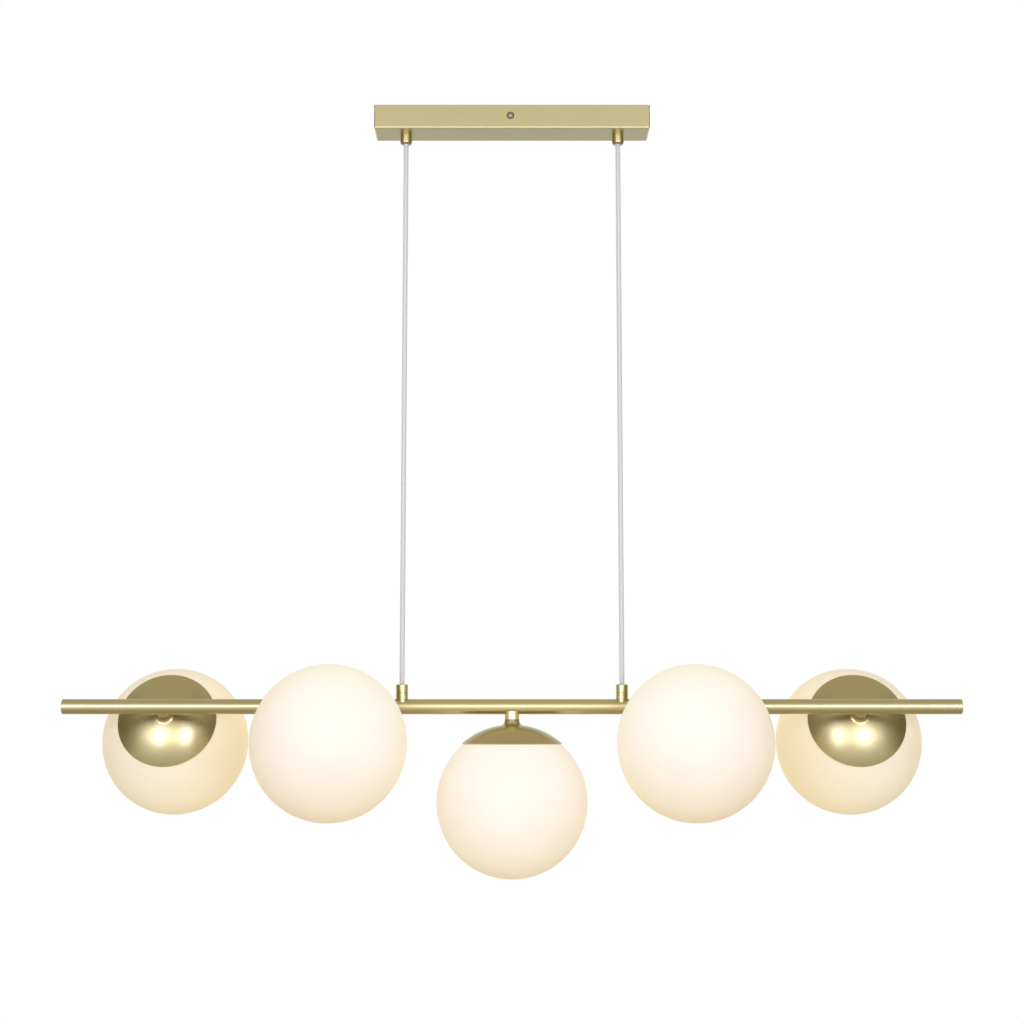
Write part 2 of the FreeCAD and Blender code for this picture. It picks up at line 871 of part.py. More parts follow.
def make_nipple(number, pitches, tilt):
    bottom = along_arm(holder_top) - size("holder_socket_depth") + size("holder_gap")
    body = doc.addObject("PartDesign::Body", f"nipple_{number}")
    outline = new_sketch(body, "XY_Plane", bottom)
    add_circle(outline, ZERO, ZERO, nipple_radius)
    add_circle(outline, ZERO, ZERO, size("nipple_bore") / 2)
    pad(body, outline, -bottom - size("nipple_top_gap"))
    place_lamp_piece(body, pitches, tilt)
    return body


def make_lock_nut(number, pitches, tilt):
    top = along_arm(cap_seat_height) - size("lock_nut_gap")
    body = doc.addObject("PartDesign::Body", f"lock_nut_{number}")
    outline = new_sketch(body, "XY_Plane", top)
    add_hexagon(outline, size("lock_nut_flats"))
    add_circle(outline, ZERO, ZERO, nipple_hole)
    pad(body, outline, size("lock_nut_height"), downwards=True)
    place_lamp_piece(body, pitches, tilt)
    return body


def make_cap(number, pitches, tilt):
    """Spun dome with a turned collar on top and a threaded collar for the glass inside."""
    neck = size("cap_neck_radius")
    fillet = size("cap_fillet")
    fillet_x = neck + fillet
    fillet_height = on_circle(cap_outer_radius + fillet, fillet_x)
    shrink = cap_outer_radius / (cap_outer_radius + fillet)
    rim_radius = size("cap_rim_radius")
    rim_height = on_circle(cap_outer_radius, rim_radius)
    inner_share = cap_inner_radius / cap_outer_radius
    collar_inner = neck_radius + size("thread_clearance")
    collar_outer = collar_inner + size("collar_wall")
    collar_bottom = along_arm(neck_shoulder + size("collar_clearance"))
    chamfer = size("joint_chamfer")
    top = along_arm(cap_neck_top)
    steps = [
        (nipple_hole, along_arm(cap_seat_height)),
        (nipple_hole, top),
        (neck - chamfer, top),
        (neck, top - chamfer),
        (neck, along_arm(fillet_height)),
        ((fillet_x, along_arm(fillet_height)), (fillet_x * shrink, along_arm(fillet_height * shrink)), 1),
        (globe_centre, (rim_radius, along_arm(rim_height)), -1),
        (rim_radius * inner_share, along_arm(rim_height * inner_share)),
        (globe_centre, (collar_outer, along_arm(on_circle(cap_inner_radius, collar_outer))), 1),
        (collar_outer, collar_bottom),
        (collar_inner, collar_bottom),
        (collar_inner, along_arm(on_circle(cap_inner_radius, collar_inner))),
        (globe_centre, (size("cap_seat_radius"), along_arm(cap_seat_height)), 1),
    ]
    body = turned(f"cap_{number}", steps)
    place_lamp_piece(body, pitches, tilt)


def make_lampholder(number, pitches, tilt):
    """Ceramic holder with a socket for the nipple above and a recess with pin holes below."""
    outer = size("holder_diameter") / 2
    recess = size("holder_recess_diameter") / 2
    top = along_arm(holder_top)
    bottom = top - size("holder_length")
    recess_top = bottom + size("holder_recess_depth")
    socket_bottom = top - size("holder_socket_depth")
    body = new_body(f"lampholder_{number}")
    blank = new_sketch(body, "XY_Plane", bottom)
    add_circle(blank, ZERO, ZERO, outer)
    pad(body, blank, size("holder_length"))
    socket = new_sketch(body, "XY_Plane", top)
    add_circle(socket, ZERO, ZERO, nipple_hole)
    pocket(body, socket, size("holder_socket_depth"))
    recess_sketch = new_sketch(body, "XY_Plane", bottom)
    add_circle(recess_sketch, ZERO, ZERO, recess)
    pocket(body, recess_sketch, size("holder_recess_depth"), reverse=True)
    pins = new_sketch(body, "XY_Plane", recess_top)
    for sign in (-1, 1):
        add_circle(pins, size("pin_spacing") / 2 * sign, ZERO, size("pin_hole_diameter") / 2)
    pocket(body, pins, size("pin_hole_depth"), reverse=True)
    place_lamp_piece(body, pitches, tilt)


def make_bulb(number, pitches, tilt):
    """Two-pin bulb: plastic base, round-ended envelope and two pins."""
    seat = along_arm(holder_top) - size("holder_length") + size("holder_recess_depth")
    top = seat - size("bulb_seat_gap")
    base_radius = size("bulb_base_diameter") / 2
    radius = size("bulb_diameter") / 2
    shoulder = size("bulb_shoulder")
    base_bottom = top - size("bulb_base_length")
    tip = top - size("bulb_length")
    steps = [
        (ZERO, tip),
        ((ZERO, tip + radius), (radius, tip + radius), 1),
        (radius, base_bottom - shoulder),
        (base_radius, base_bottom),
        (base_radius, top),
        (ZERO, top),
    ]
    body = new_body(f"bulb_{number}")
    outline = new_sketch(body, "XZ_Plane")
    add_outline(outline, steps)
    revolve(body, outline)
    pins = new_sketch(body, "XY_Plane", top)
    for sign in (-1, 1):
        add_circle(pins, size("pin_spacing") / 2 * sign, ZERO, size("pin_diameter") / 2)
    pad(body, pins, size("pin_length"))
    place_lamp_piece(body, pitches, tilt)


def make_gasket(number, pitches, tilt):
    body = new_body(f"gasket_{number}")
    bottom = along_arm(gasket_top) - size("gasket_thickness")
    outline = new_sketch(body, "XY_Plane", bottom)
    add_circle(outline, ZERO, ZERO, neck_radius)
    add_circle(outline, ZERO, ZERO, neck_radius - size("neck_wall"))
    pad(body, outline, size("gasket_thickness"))
    place_lamp_piece(body, pitches, tilt)


def make_glass(number, pitches, tilt):
    """Opal globe with a flat shoulder and a threaded neck, all under the cap."""
    wall = size("glass_wall")
    inner_radius = glass_radius - wall
    bore = neck_radius - size("neck_wall")
    inner_shoulder = shoulder_radius - wall / 2
    steps = [
        (bore, along_arm(neck_top)),
        (bore, along_arm(neck_shoulder) - wall),
        (inner_shoulder, along_arm(on_circle(inner_radius, inner_shoulder))),
        (globe_centre, (ZERO, along_arm(-inner_radius)), -1),
        (ZERO, along_arm(-glass_radius)),
        (globe_centre, (shoulder_radius, along_arm(on_circle(glass_radius, shoulder_radius))), 1),
        (neck_radius, along_arm(neck_shoulder)),
        (neck_radius, along_arm(neck_top)),
    ]
    body = turned(f"globe_{number}", steps)
    place_lamp_piece(body, pitches, tilt)


# Wiring in the bar: one bundle with a feed from each grip and a drop to each lampholder

def make_harness():
    radius = size("harness_diameter") / 2
    half_length = lamp_pitch * 2 + size("harness_end_margin")
    trunk = cylinder("harness_trunk", radius, half_length * 2, (-half_length, ZERO, bar_height))
    trunk.Placement.Rotation = FreeCAD.Rotation(Y_AXIS, 90)
    pieces = [trunk]
    for side, sign in SIDES:
        rise = lower_pivot - ball_to_cord
        foot = (side_place(sign), ZERO, bar_height)
        pieces.append(cylinder(f"harness_feed_{side}", cord_radius, rise, foot))
    for number, pitches, tilt in LAMP_SHARES:
        bottom = along_arm(holder_top) - size("holder_socket_depth") + size("holder_gap")
        drop_radius = size("drop_lead_diameter") / 2
        drop = cylinder(f"harness_drop_{number}", drop_radius, -bottom, (ZERO, ZERO, bottom))
        turned_drop = doc.addObject("Part::Compound", f"harness_lead_{number}")
        turned_drop.Links = [drop]
        place_lamp_piece(turned_drop, pitches, tilt)
        pieces.append(turned_drop)
    named(fused("wiring_harness", pieces), "wiring_harness")


make_bracket()
make_canopy()
make_lock_screws()
make_terminal_block()
make_terminal_screws()
upper_nuts = []
bushings = []
collets = []
for side, sign in SIDES:
    make_canopy_lead(side, sign)
    make_upper_grip(side, sign)
    upper_nuts.append(make_upper_nut(side, sign))
    bushings.append(make_bushing(side, sign))
    make_cord(side, sign)
    make_end_cap(side, sign)
    make_lower_base(side, sign)
    make_lower_nut(side, sign)
    collets.append(make_collet(side, sign))
grouped("upper_grip_nuts", upper_nuts)
grouped("grip_bushings", bushings)
grouped("cord_collets", collets)
make_bar_tube()
make_harness()
nipples = []
lock_nuts = []
for lamp in LAMP_SHARES:
    make_arm(*lamp)
    nipples.append(make_nipple(*lamp))
    make_cap(*lamp)
    lock_nuts.append(make_lock_nut(*lamp))
    make_lampholder(*lamp)
    make_bulb(*lamp)
    make_gasket(*lamp)
    make_glass(*lamp)
grouped("lamp_nipples", nipples)
grouped("lamp_lock_nuts", lock_nuts)

doc.recompute()

# Check every object, then write each sub-part

for thing in doc.Objects:
    if "Invalid" in thing.State or "Error" in thing.State:
        raise RuntimeError(f"{thing.Label} failed: {thing.State}")
for sub_part in sub_parts:
    shape = sub_part.Shape
    if shape.isNull() or not shape.isValid():
        raise RuntimeError(f"{sub_part.Label} has no valid shape")

os.makedirs("parts", exist_ok=True)
for sub_part in sub_parts:
    sub_part.Shape.exportStep(f"parts/{sub_part.Label}.step")
    box = sub_part.Shape.BoundBox
    solids = len(sub_part.Shape.Solids)
    print(f"{sub_part.Label:22s} solids {solids} volume {sub_part.Shape.Volume:10.1f}"
          f" x {box.XMin:7.1f} {box.XMax:7.1f} y {box.YMin:7.1f} {box.YMax:7.1f}"
          f" z {box.ZMin:7.1f} {box.ZMax:7.1f}")
cord_run = (upper_pivot - bar_height - lower_pivot).value
print("cord length between the bending points", cord_run)
print("bend radius of the canopy leads", size("lead_bend_radius").value)
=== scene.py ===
import math

import bmesh
import bpy
from mathutils import Matrix, Vector


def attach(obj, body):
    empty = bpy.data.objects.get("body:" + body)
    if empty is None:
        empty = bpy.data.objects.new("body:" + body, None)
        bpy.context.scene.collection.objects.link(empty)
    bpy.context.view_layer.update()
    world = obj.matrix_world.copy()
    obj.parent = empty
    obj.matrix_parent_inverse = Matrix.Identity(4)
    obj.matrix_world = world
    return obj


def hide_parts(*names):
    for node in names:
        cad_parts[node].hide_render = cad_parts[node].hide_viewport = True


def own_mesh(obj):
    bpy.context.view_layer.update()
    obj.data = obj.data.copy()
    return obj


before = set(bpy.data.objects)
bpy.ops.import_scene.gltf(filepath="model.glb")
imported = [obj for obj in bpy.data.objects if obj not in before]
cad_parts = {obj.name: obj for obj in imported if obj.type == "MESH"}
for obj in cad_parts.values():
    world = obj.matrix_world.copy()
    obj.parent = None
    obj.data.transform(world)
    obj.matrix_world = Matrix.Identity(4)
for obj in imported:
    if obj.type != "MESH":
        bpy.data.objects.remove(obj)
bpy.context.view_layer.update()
scene = bpy.context.scene

# Places in the row frame, in metres, as in the CAD source
BAR_Z = -0.615
ARM = 0.094
DROP_ANGLE = 22.0
# Number, place along the bar, and tilt of the arm from straight down: 1 to the back, -1 to the front
LAMPS = ((1, -0.350, 1), (2, -0.175, -1), (3, 0.0, 0), (4, 0.175, -1), (5, 0.350, 1))
SIDES = (("left", -0.110), ("right", 0.110))
CORD_TOP = -0.037
CORD_FOOT = -0.592
CORD_RADIUS = 0.0025


def lamp_matrix(x, tilt):
    """From a lamp's own frame, with Z along its arm towards the bar, to the row frame."""
    turn = Matrix.Rotation(math.radians((90.0 - DROP_ANGLE) * tilt), 4, "X")
    return Matrix.Translation((x, 0.0, BAR_Z)) @ turn


# Camera, level with the bar and looking slightly up

SENSOR = 36.0
PHOTO_SIZE = 1024
FOCAL_PIXELS = 1938.0
CAMERA_SHIFT = -0.0559
CAMERA_DISTANCE = 1.9518
CAMERA_DROP = 0.0148
CAMERA_PITCH = 7.84
CAMERA_CLIP = (0.05, 60.0)


def make_camera():
    data = bpy.data.cameras.new("camera")
    data.sensor_width = SENSOR
    data.lens = SENSOR * FOCAL_PIXELS / PHOTO_SIZE
    data.shift_y = CAMERA_SHIFT
    data.clip_start, data.clip_end = CAMERA_CLIP
    camera = bpy.data.objects.new("camera", data)
    camera.location = (0.0, -CAMERA_DISTANCE, BAR_Z - CAMERA_DROP)
    camera.rotation_euler = (math.radians(90.0 + CAMERA_PITCH), 0.0, 0.0)
    scene.collection.objects.link(camera)
    scene.camera = camera


make_camera()


# Node trees

# Sockets of a Mix node that hold its two colours and their mixture
MIX_FIRST, MIX_SECOND, MIX_RESULT = 6, 7, 2


class Nodes:
    """A node tree with short calls for its nodes and links."""

    def __init__(self, tree):
        self.tree = tree
        tree.nodes.clear()

    def new(self, kind, **values):
        node = self.tree.nodes.new(kind)
        for key, value in values.items():
            setattr(node, key, value)
        return node

    def feed(self, socket, item):
        """Give a socket the output of another node, a colour or a number."""
        if isinstance(item, bpy.types.NodeSocket):
            self.tree.links.new(item, socket)
        elif isinstance(item, tuple):
            socket.default_value = (*item, 1.0)
        else:
            socket.default_value = item

    def separate(self, vector):
        """X, Y and Z of a vector, by name."""
        node = self.new("ShaderNodeSeparateXYZ")
        self.feed(node.inputs["Vector"], vector)
        return node.outputs

    def calculate(self, operation, first, second=0.0):
        node = self.new("ShaderNodeMath", operation=operation)
        self.feed(node.inputs[0], first)
        self.feed(node.inputs[1], second)
        return node.outputs["Value"]

    def weighted(self, *pairs):
        """Sum of values, each times its weight."""
        total, *others = [self.calculate("MULTIPLY", value, weight) for value, weight in pairs]
        for other in others:
            total = self.calculate("ADD", total, other)
        return total

    def spread(self, value, low, high, from_low, from_high, kind="LINEAR"):
        """Low up to the value from_low, high from from_high on, and a way between them there."""
        node = self.new("ShaderNodeMapRange", interpolation_type=kind)
        node.inputs["From Min"].default_value = from_low
        node.inputs["From Max"].default_value = from_high
        node.inputs["To Min"].default_value = low
        node.inputs["To Max"].default_value = high
        self.feed(node.inputs["Value"], value)
        return node.outputs["Result"]

    def above(self, value, edge, fade):
        """1 where the value is over an edge, 0 where it is under it."""
        return self.spread(value, 0.0, 1.0, edge - fade, edge + fade)

    def below(self, value, edge, fade):
        """1 where the value is under an edge, 0 where it is over it."""
        return self.spread(value, 1.0, 0.0, edge - fade, edge + fade)

    def ramp(self, value, stops):
        node = self.new("ShaderNodeValToRGB")
        points = node.color_ramp.elements
        while len(points) < len(stops):
            points.new(0.5)
        for point, (place, colour) in zip(points, stops):
            point.position = place
            point.color = (*colour, 1.0)
        self.feed(node.inputs["Fac"], value)
        return node.outputs["Color"]

    def blend(self, first, second, share, kind="MIX"):
        """First colour where the share is 0, and where it is 1 the second one or their product."""
        node = self.new("ShaderNodeMix", data_type="RGBA", blend_type=kind)
        self.feed(node.inputs["Factor"], share)
        self.feed(node.inputs[MIX_FIRST], first)
        self.feed(node.inputs[MIX_SECOND], second)
        return node.outputs[MIX_RESULT]

    def blend_shaders(self, first, second, share):
        node = self.new("ShaderNodeMixShader")
        self.feed(node.inputs["Fac"], share)
        self.feed(node.inputs[1], first)
        self.feed(node.inputs[2], second)
        return node.outputs["Shader"]

    def emission(self, colour):
        node = self.new("ShaderNodeEmission")
        self.feed(node.inputs["Color"], colour)
        return node.outputs["Emission"]


class Material(Nodes):
    """A material round one Principled shader."""

    def __init__(self, name):
        self.material = bpy.data.materials.new(name)
        self.material.use_nodes = True
        super().__init__(self.material.node_tree)
        self.surface = self.new("ShaderNodeOutputMaterial").inputs["Surface"]
        self.shader = self.new("ShaderNodeBsdfPrincipled")
        self.feed(self.surface, self.shader.outputs["BSDF"])

    def set(self, **items):
        """Feed inputs of the shader, named with _ for a space."""
        for key, item in items.items():
            self.feed(self.shader.inputs[key.replace("_", " ")], item)

    def coordinates(self, scale=(1.0, 1.0, 1.0), matrix=None):
        """Object coordinates, in the frame of a lamp where its matrix is given, then scaled."""
        place = self.new("ShaderNodeTexCoord").outputs["Object"]
        if matrix is not None:
            back = matrix.inverted()
            moved = self.new("ShaderNodeMapping")
            moved.inputs["Location"].default_value = back.to_translation()
            moved.inputs["Rotation"].default_value = back.to_euler()
            self.feed(moved.inputs["Vector"], place)
            place = moved.outputs["Vector"]
        sized = self.new("ShaderNodeMapping")
        sized.inputs["Scale"].default_value = scale
        self.feed(sized.inputs["Vector"], place)
        return sized.outputs["Vector"]

    def place(self, matrix=None):
        """X, Y and Z of the coordinates, in the frame of a lamp where its matrix is given."""
        return self.separate(self.coordinates(matrix=matrix))

    def noise(self, vector, scale, detail=3.0, roughness=0.5):
        node = self.new("ShaderNodeTexNoise")
        node.inputs["Scale"].default_value = scale
        node.inputs["Detail"].default_value = detail
        node.inputs["Roughness"].default_value = roughness
        self.feed(node.inputs["Vector"], vector)
        return node.outputs["Fac"]

    def bump(self, value, strength, distance):
        node = self.new("ShaderNodeBump")
        node.inputs["Strength"].default_value = strength
        node.inputs["Distance"].default_value = distance
        self.feed(node.inputs["Height"], value)
        self.set(Normal=node.outputs["Normal"])


# Materials

# Noise mostly lies between these values
NOISE_LOW, NOISE_HIGH = 0.30, 0.70

# Stretch of the grain: along the bar, turned round the bar, and turned round an upright axis
ALONG_X = (0.02, 1.0, 1.0)
ROUND_X = (1.0, 0.02, 0.02)
ROUND_Z = (0.02, 0.02, 1.0)

# Metal: grain and clouds, how much each of them counts, and the lacquer on top
GRAIN_SCALE = 1400.0
GRAIN_DETAIL = 4.0
GRAIN_HARSHNESS = 0.65
CLOUD_SCALE = 22.0
GRAIN_WEIGHT, CLOUD_WEIGHT = 0.45, 0.55
GRAIN_BUMP = 0.30
LACQUER_ROUGHNESS = 0.30
LACQUER_IOR = 1.6

# Moulded pieces: skin and clouds, and how far the finish goes to the smooth and the rough side
SKIN_CLOUD_SCALE = 30.0
SKIN_WEIGHT, SKIN_CLOUD_WEIGHT = 0.4, 0.6
SKIN_SMOOTHER, SKIN_ROUGHER = 0.05, 0.07
SKIN_BUMP = 0.25


def linear(red, green, blue):
    """Scene colour of an 8 bit display colour."""
    parts = []
    for part in (red, green, blue):
        part /= 255.0
        parts.append(part / 12.92 if part <= 0.04045 else ((part + 0.055) / 1.055) ** 2.4)
    return tuple(parts)


def scaled(colour, factor):
    return tuple(part * factor for part in colour)


def metal(name, colour, grain, roughness, matrix=None, tone=0.03, wear=0.05, depth=0.000006,
          lacquer=0.0, edge=(1.0, 1.0, 1.0), marks=()):
    """Satin metal: fine grain drawn out along one way, and soft clouds in the finish.

    Tone and wear say how far colour and roughness vary, and depth how deep the grain is. Edge is
    the tint of what the metal mirrors at a grazing angle. Each mark gives a function for its
    share, a colour, and how much rougher it is than the rest.
    """
    nodes = Material(name)
    fine = nodes.noise(nodes.coordinates(grain, matrix), GRAIN_SCALE, GRAIN_DETAIL, GRAIN_HARSHNESS)
    cloud = nodes.noise(nodes.coordinates(), CLOUD_SCALE)
    both = nodes.weighted((fine, GRAIN_WEIGHT), (cloud, CLOUD_WEIGHT))
    tint = nodes.ramp(both, (
        (NOISE_LOW, scaled(colour, 1.0 - tone)), (NOISE_HIGH, scaled(colour, 1.0 + tone))))
    rough = nodes.spread(both, roughness - wear, roughness + wear, NOISE_LOW, NOISE_HIGH)
    for share, mark, rougher in marks:
        amount = share(nodes)
        tint = nodes.blend(tint, mark, amount)
        if rougher:
            rough = nodes.calculate("ADD", rough, nodes.calculate("MULTIPLY", amount, rougher))
    nodes.set(Base_Color=tint, Roughness=rough, Metallic=1.0, Specular_Tint=edge)
    nodes.set(Coat_Weight=lacquer, Coat_Roughness=LACQUER_ROUGHNESS, Coat_IOR=LACQUER_IOR)
    nodes.bump(fine, GRAIN_BUMP, depth)
    return nodes.material


def moulded(name, colour, roughness, tone=0.05, speck=900.0, depth=0.00003, clearness=0.0):
    """Moulded plastic, rubber or ceramic with a fine skin texture and slight clouds."""
    nodes = Material(name)
    fine = nodes.noise(nodes.coordinates(), speck)
    cloud = nodes.noise(nodes.coordinates(), SKIN_CLOUD_SCALE)
    both = nodes.weighted((fine, SKIN_WEIGHT), (cloud, SKIN_CLOUD_WEIGHT))
    tint = nodes.ramp(both, ((NOISE_LOW, scaled(colour, 1.0 - tone)), (NOISE_HIGH, colour)))
    rough = nodes.spread(
        both, roughness - SKIN_SMOOTHER, roughness + SKIN_ROUGHER, NOISE_LOW, NOISE_HIGH)
    nodes.set(Base_Color=tint, Roughness=rough, Transmission_Weight=clearness)
    nodes.bump(fine, SKIN_BUMP, depth)
    return nodes.material


# Marks: another tone on part of a metal piece: a dark joint gap, and painted highlights,
# reflections, light and shade

EDGE_FADE = 0.0002
BAND_FADE = 0.0001
# The canopy's rounded lower edge, which has a painted highlight, and the reach of the painted
# reflection on its underside
CANOPY_HALF_LENGTH = 0.142
CANOPY_HALF_DEPTH = 0.0225
CANOPY_BOTTOM = -0.025
CANOPY_EDGE = 0.0015
UNDER_REACH = 0.0002
# Heights between which the rounded mouth of an upper grip is painted darker, a painted shade
MOUTH = (-0.0370, -0.0337)
# Joint between arm and cap, as a height along the arm, with a dark gap and below it a neck that has
# painted shade
JOINT = -0.0132
GAP_ABOVE = 0.0005
GAP_BELOW = 0.0004
NECK_BELOW = 0.0024
JOINT_ROUGHER = 0.3
# Distances from the bar's centre between which the painted warm light of the globes on it fades out
GLOW_LIT_FADE = (0.08, 0.15)


def painted_rim_highlight(nodes):
    """Share of the painted highlight: full on the rounded edge round the foot of the canopy."""
    place = nodes.place()
    sides = []
    for axis, half in (("X", CANOPY_HALF_LENGTH), ("Y", CANOPY_HALF_DEPTH)):
        out = nodes.calculate("ABSOLUTE", place[axis])
        sides.append(nodes.above(out, half - CANOPY_EDGE, EDGE_FADE))
    foot = nodes.below(place["Z"], CANOPY_BOTTOM + CANOPY_EDGE, EDGE_FADE)
    return nodes.calculate("MULTIPLY", foot, nodes.calculate("MAXIMUM", *sides))


def band(low, high, matrix=None):
    """Share of a mark between two heights, along a lamp's arm where its matrix is given."""
    def share(nodes):
        height = nodes.place(matrix)["Z"]
        over = nodes.above(height, low, BAND_FADE)
        under = nodes.below(height, high, BAND_FADE)
        return nodes.calculate("MULTIPLY", over, under)
    return share


def painted_glow_on_bar(nodes):
    """Share of the painted warm light that the glowing globes throw on the middle of the bar."""
    out = nodes.calculate("ABSOLUTE", nodes.place()["X"])
    return nodes.spread(out, 1.0, 0.0, *GLOW_LIT_FADE)


# Meshes

SHARP_ANGLE = 35.0
# A radius under this one closes the end of a turned piece
NO_RADIUS = 1e-7


def new_piece(name, builder):
    mesh = bpy.data.meshes.new(name)
    builder.to_mesh(mesh)
    builder.free()
    for face in mesh.polygons:
        face.use_smooth = True
    mesh.set_sharp_from_angle(angle=math.radians(SHARP_ANGLE))
    piece = bpy.data.objects.new(name, mesh)
    scene.collection.objects.link(piece)
    return piece


def arc(centre, radius, start, end, steps):
    """Points of an arc in the half plane of radius and height; angles in degrees."""
    points = []
    for index in range(steps + 1):
        angle = math.radians(start + (end - start) * index / steps)
        points.append((centre[0] + radius * math.cos(angle), centre[1] + radius * math.sin(angle)))
    return points


def add_ring(builder, centre, radius, segments, swell=None):
    """Vertices of a level ring; swell gives what is added to its radius."""
    ring = []
    for index in range(segments):
        angle = 2.0 * math.pi * index / segments
        reach = radius + (swell(angle, centre[2], radius) if swell else 0.0)
        ring.append(builder.verts.new((
            centre[0] + reach * math.cos(angle), centre[1] + reach * math.sin(angle), centre[2])))
    return ring


def lathe(name, profile, matrix, segments, swell):
    """Turn a profile of (radius, height) round Z; a radius of zero closes the end."""
    builder = bmesh.new()
    rings = []
    for radius, height in profile:
        centre = (0.0, 0.0, height)
        if radius < NO_RADIUS:
            rings.append([builder.verts.new(centre)])
        else:
            rings.append(add_ring(builder, centre, radius, segments, swell))
    for first, second in zip(rings, rings[1:]):
        for index in range(segments):
            after = (index + 1) % segments
            if len(first) == 1:
                corners = (first[0], second[index], second[after])
            elif len(second) == 1:
                corners = (first[index], second[0], first[after])
            else:
                corners = (first[index], second[index], second[after], first[after])
            builder.faces.new(corners)
    bmesh.ops.recalc_face_normals(builder, faces=builder.faces)
    bmesh.ops.transform(builder, matrix=matrix, verts=builder.verts)
    return new_piece(name, builder)


def tube(name, points, radius, segments):
    """Upright round bar along the points, closed at both ends."""
    builder = bmesh.new()
    rings = [add_ring(builder, point, radius, segments) for point in points]
    for first, second in zip(rings, rings[1:]):
        for index in range(segments):
            after = (index + 1) % segments
            builder.faces.new((first[index], first[after], second[after], second[index]))
    for ring in (rings[0], rings[-1]):
        builder.faces.new(ring)
    bmesh.ops.recalc_face_normals(builder, faces=builder.faces)
    return new_piece(name, builder)


def paint(piece, material):
    piece.data.materials.clear()
    piece.data.materials.append(material)


def dressed(piece, material, body, slot, *nodes):
    """Give a piece its material and its body, and hide the CAD nodes that it stands for. The slot is
    not used.
    """
    paint(piece, material)
    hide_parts(*nodes)
    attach(piece, body)


# Cords: straight and tight from grip to grip

CORD_STEPS = 24
CORD_SEGMENTS = 32

cord_material = moulded(
    "cord_sheath", linear(206, 207, 205), roughness=0.45, tone=0.02, speck=1600.0, depth=0.00001)


def spline_points(name, route, resolution):
    """Points of the route's own spline, read from a curve with no bevel."""
    curve = bpy.data.curves.new(name, "CURVE")
    curve.dimensions = "3D"
    curve.resolution_u = resolution
    spline = curve.splines.new("NURBS")
    spline.points.add(len(route) - 1)
    for point, place in zip(spline.points, route):
        point.co = (*place, 1.0)
    spline.order_u = min(len(route), 3)
    spline.use_endpoint_u = True
    holder = bpy.data.objects.new(name, curve)
    scene.collection.objects.link(holder)
    mesh = bpy.data.meshes.new_from_object(holder)
    points = [vertex.co.copy() for vertex in mesh.vertices]
    bpy.data.objects.remove(holder)
    bpy.data.meshes.remove(mesh)
    return points


def make_cords():
    for side, x in SIDES:
        route = [(x, 0.0, CORD_TOP), (x, 0.0, CORD_FOOT)]
        points = spline_points(f"cord_route_{side}", route, CORD_STEPS)
        piece = tube(f"hanging_cord_{side}", points, CORD_RADIUS, CORD_SEGMENTS)
        dressed(piece, cord_material, f"{side}_cord", "cord_grey", f"cord_{side}")
        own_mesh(piece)


make_cords()


# Globes: blown opal glass, lit from inside, with a threaded neck under the cap

GLASS = 0.075
GLASS_WALL = 0.0025
GLASS_SEGMENTS = 128
OUTER_STEPS = 74
INNER_STEPS = 36
# Angle in degrees at which the rows of the ball start, just beside its lowest point
BALL_START = -89.0
NECK = 0.025
SHOULDER = 0.046
SHOULDER_Z = 0.06084
NECK_TOP = 0.06914
# Rounded corners of the glass, as steps out and up from the corner
SHOULDER_STEPS = ((-0.0015, -0.0011), (-0.004, -0.0006))
NECK_STEPS = ((0.0012, 0.0), (0.0004, 0.0004), (0.0, 0.0013))
LIP_STEPS = ((-0.0004, -0.0002), (-0.0012, 0.0), (-0.0021, -0.0003), (-GLASS_WALL, -0.001))
# Thread on the neck: its shape, its rows, and the heights and radii between which it is cut
THREAD_PITCH = 0.003
THREAD_DEPTH = 0.00018
THREAD_ROWS = 18
THREAD_START, THREAD_END = SHOULDER_Z + 0.0018, NECK_TOP - 0.001
THREAD_HEIGHTS = (SHOULDER_Z + 0.0016, NECK_TOP - 0.0012)
THREAD_RADII = (NECK - 0.0006, NECK + 0.0001)


def thread(angle, height, radius):
    """Swell of the low round thread on the outside of the neck."""
    if not THREAD_RADII[0] <= radius <= THREAD_RADII[1]:
        return 0.0
    if not THREAD_HEIGHTS[0] < height < THREAD_HEIGHTS[1]:
        return 0.0
    return THREAD_DEPTH * math.sin(2.0 * math.pi * (height / THREAD_PITCH) - angle)


def globe_profile():
    """Outline of the glass: up the outside from the lowest point, and down the inside."""
    def corner(radius, height, steps):
        return [(radius + out, height + up) for out, up in steps]

    def end_angle(ball, radius):
        return math.degrees(math.asin(math.sqrt(ball ** 2 - radius ** 2) / ball))

    centre = (0.0, 0.0)
    inner = GLASS - GLASS_WALL
    outer_end = end_angle(GLASS, SHOULDER)
    inner_end = end_angle(inner, SHOULDER - GLASS_WALL / 2)
    points = [(0.0, -GLASS)] + arc(centre, GLASS, BALL_START, outer_end, OUTER_STEPS)
    points += corner(SHOULDER, SHOULDER_Z, SHOULDER_STEPS)
    points += corner(NECK, SHOULDER_Z, NECK_STEPS)
    for index in range(THREAD_ROWS + 1):
        points.append((NECK, THREAD_START + (THREAD_END - THREAD_START) * index / THREAD_ROWS))
    points += corner(NECK, NECK_TOP, LIP_STEPS)
    points.append((NECK - GLASS_WALL, SHOULDER_Z - GLASS_WALL))
    points += arc(centre, inner, inner_end, BALL_START, INNER_STEPS) + [(0.0, -inner)]
    return points


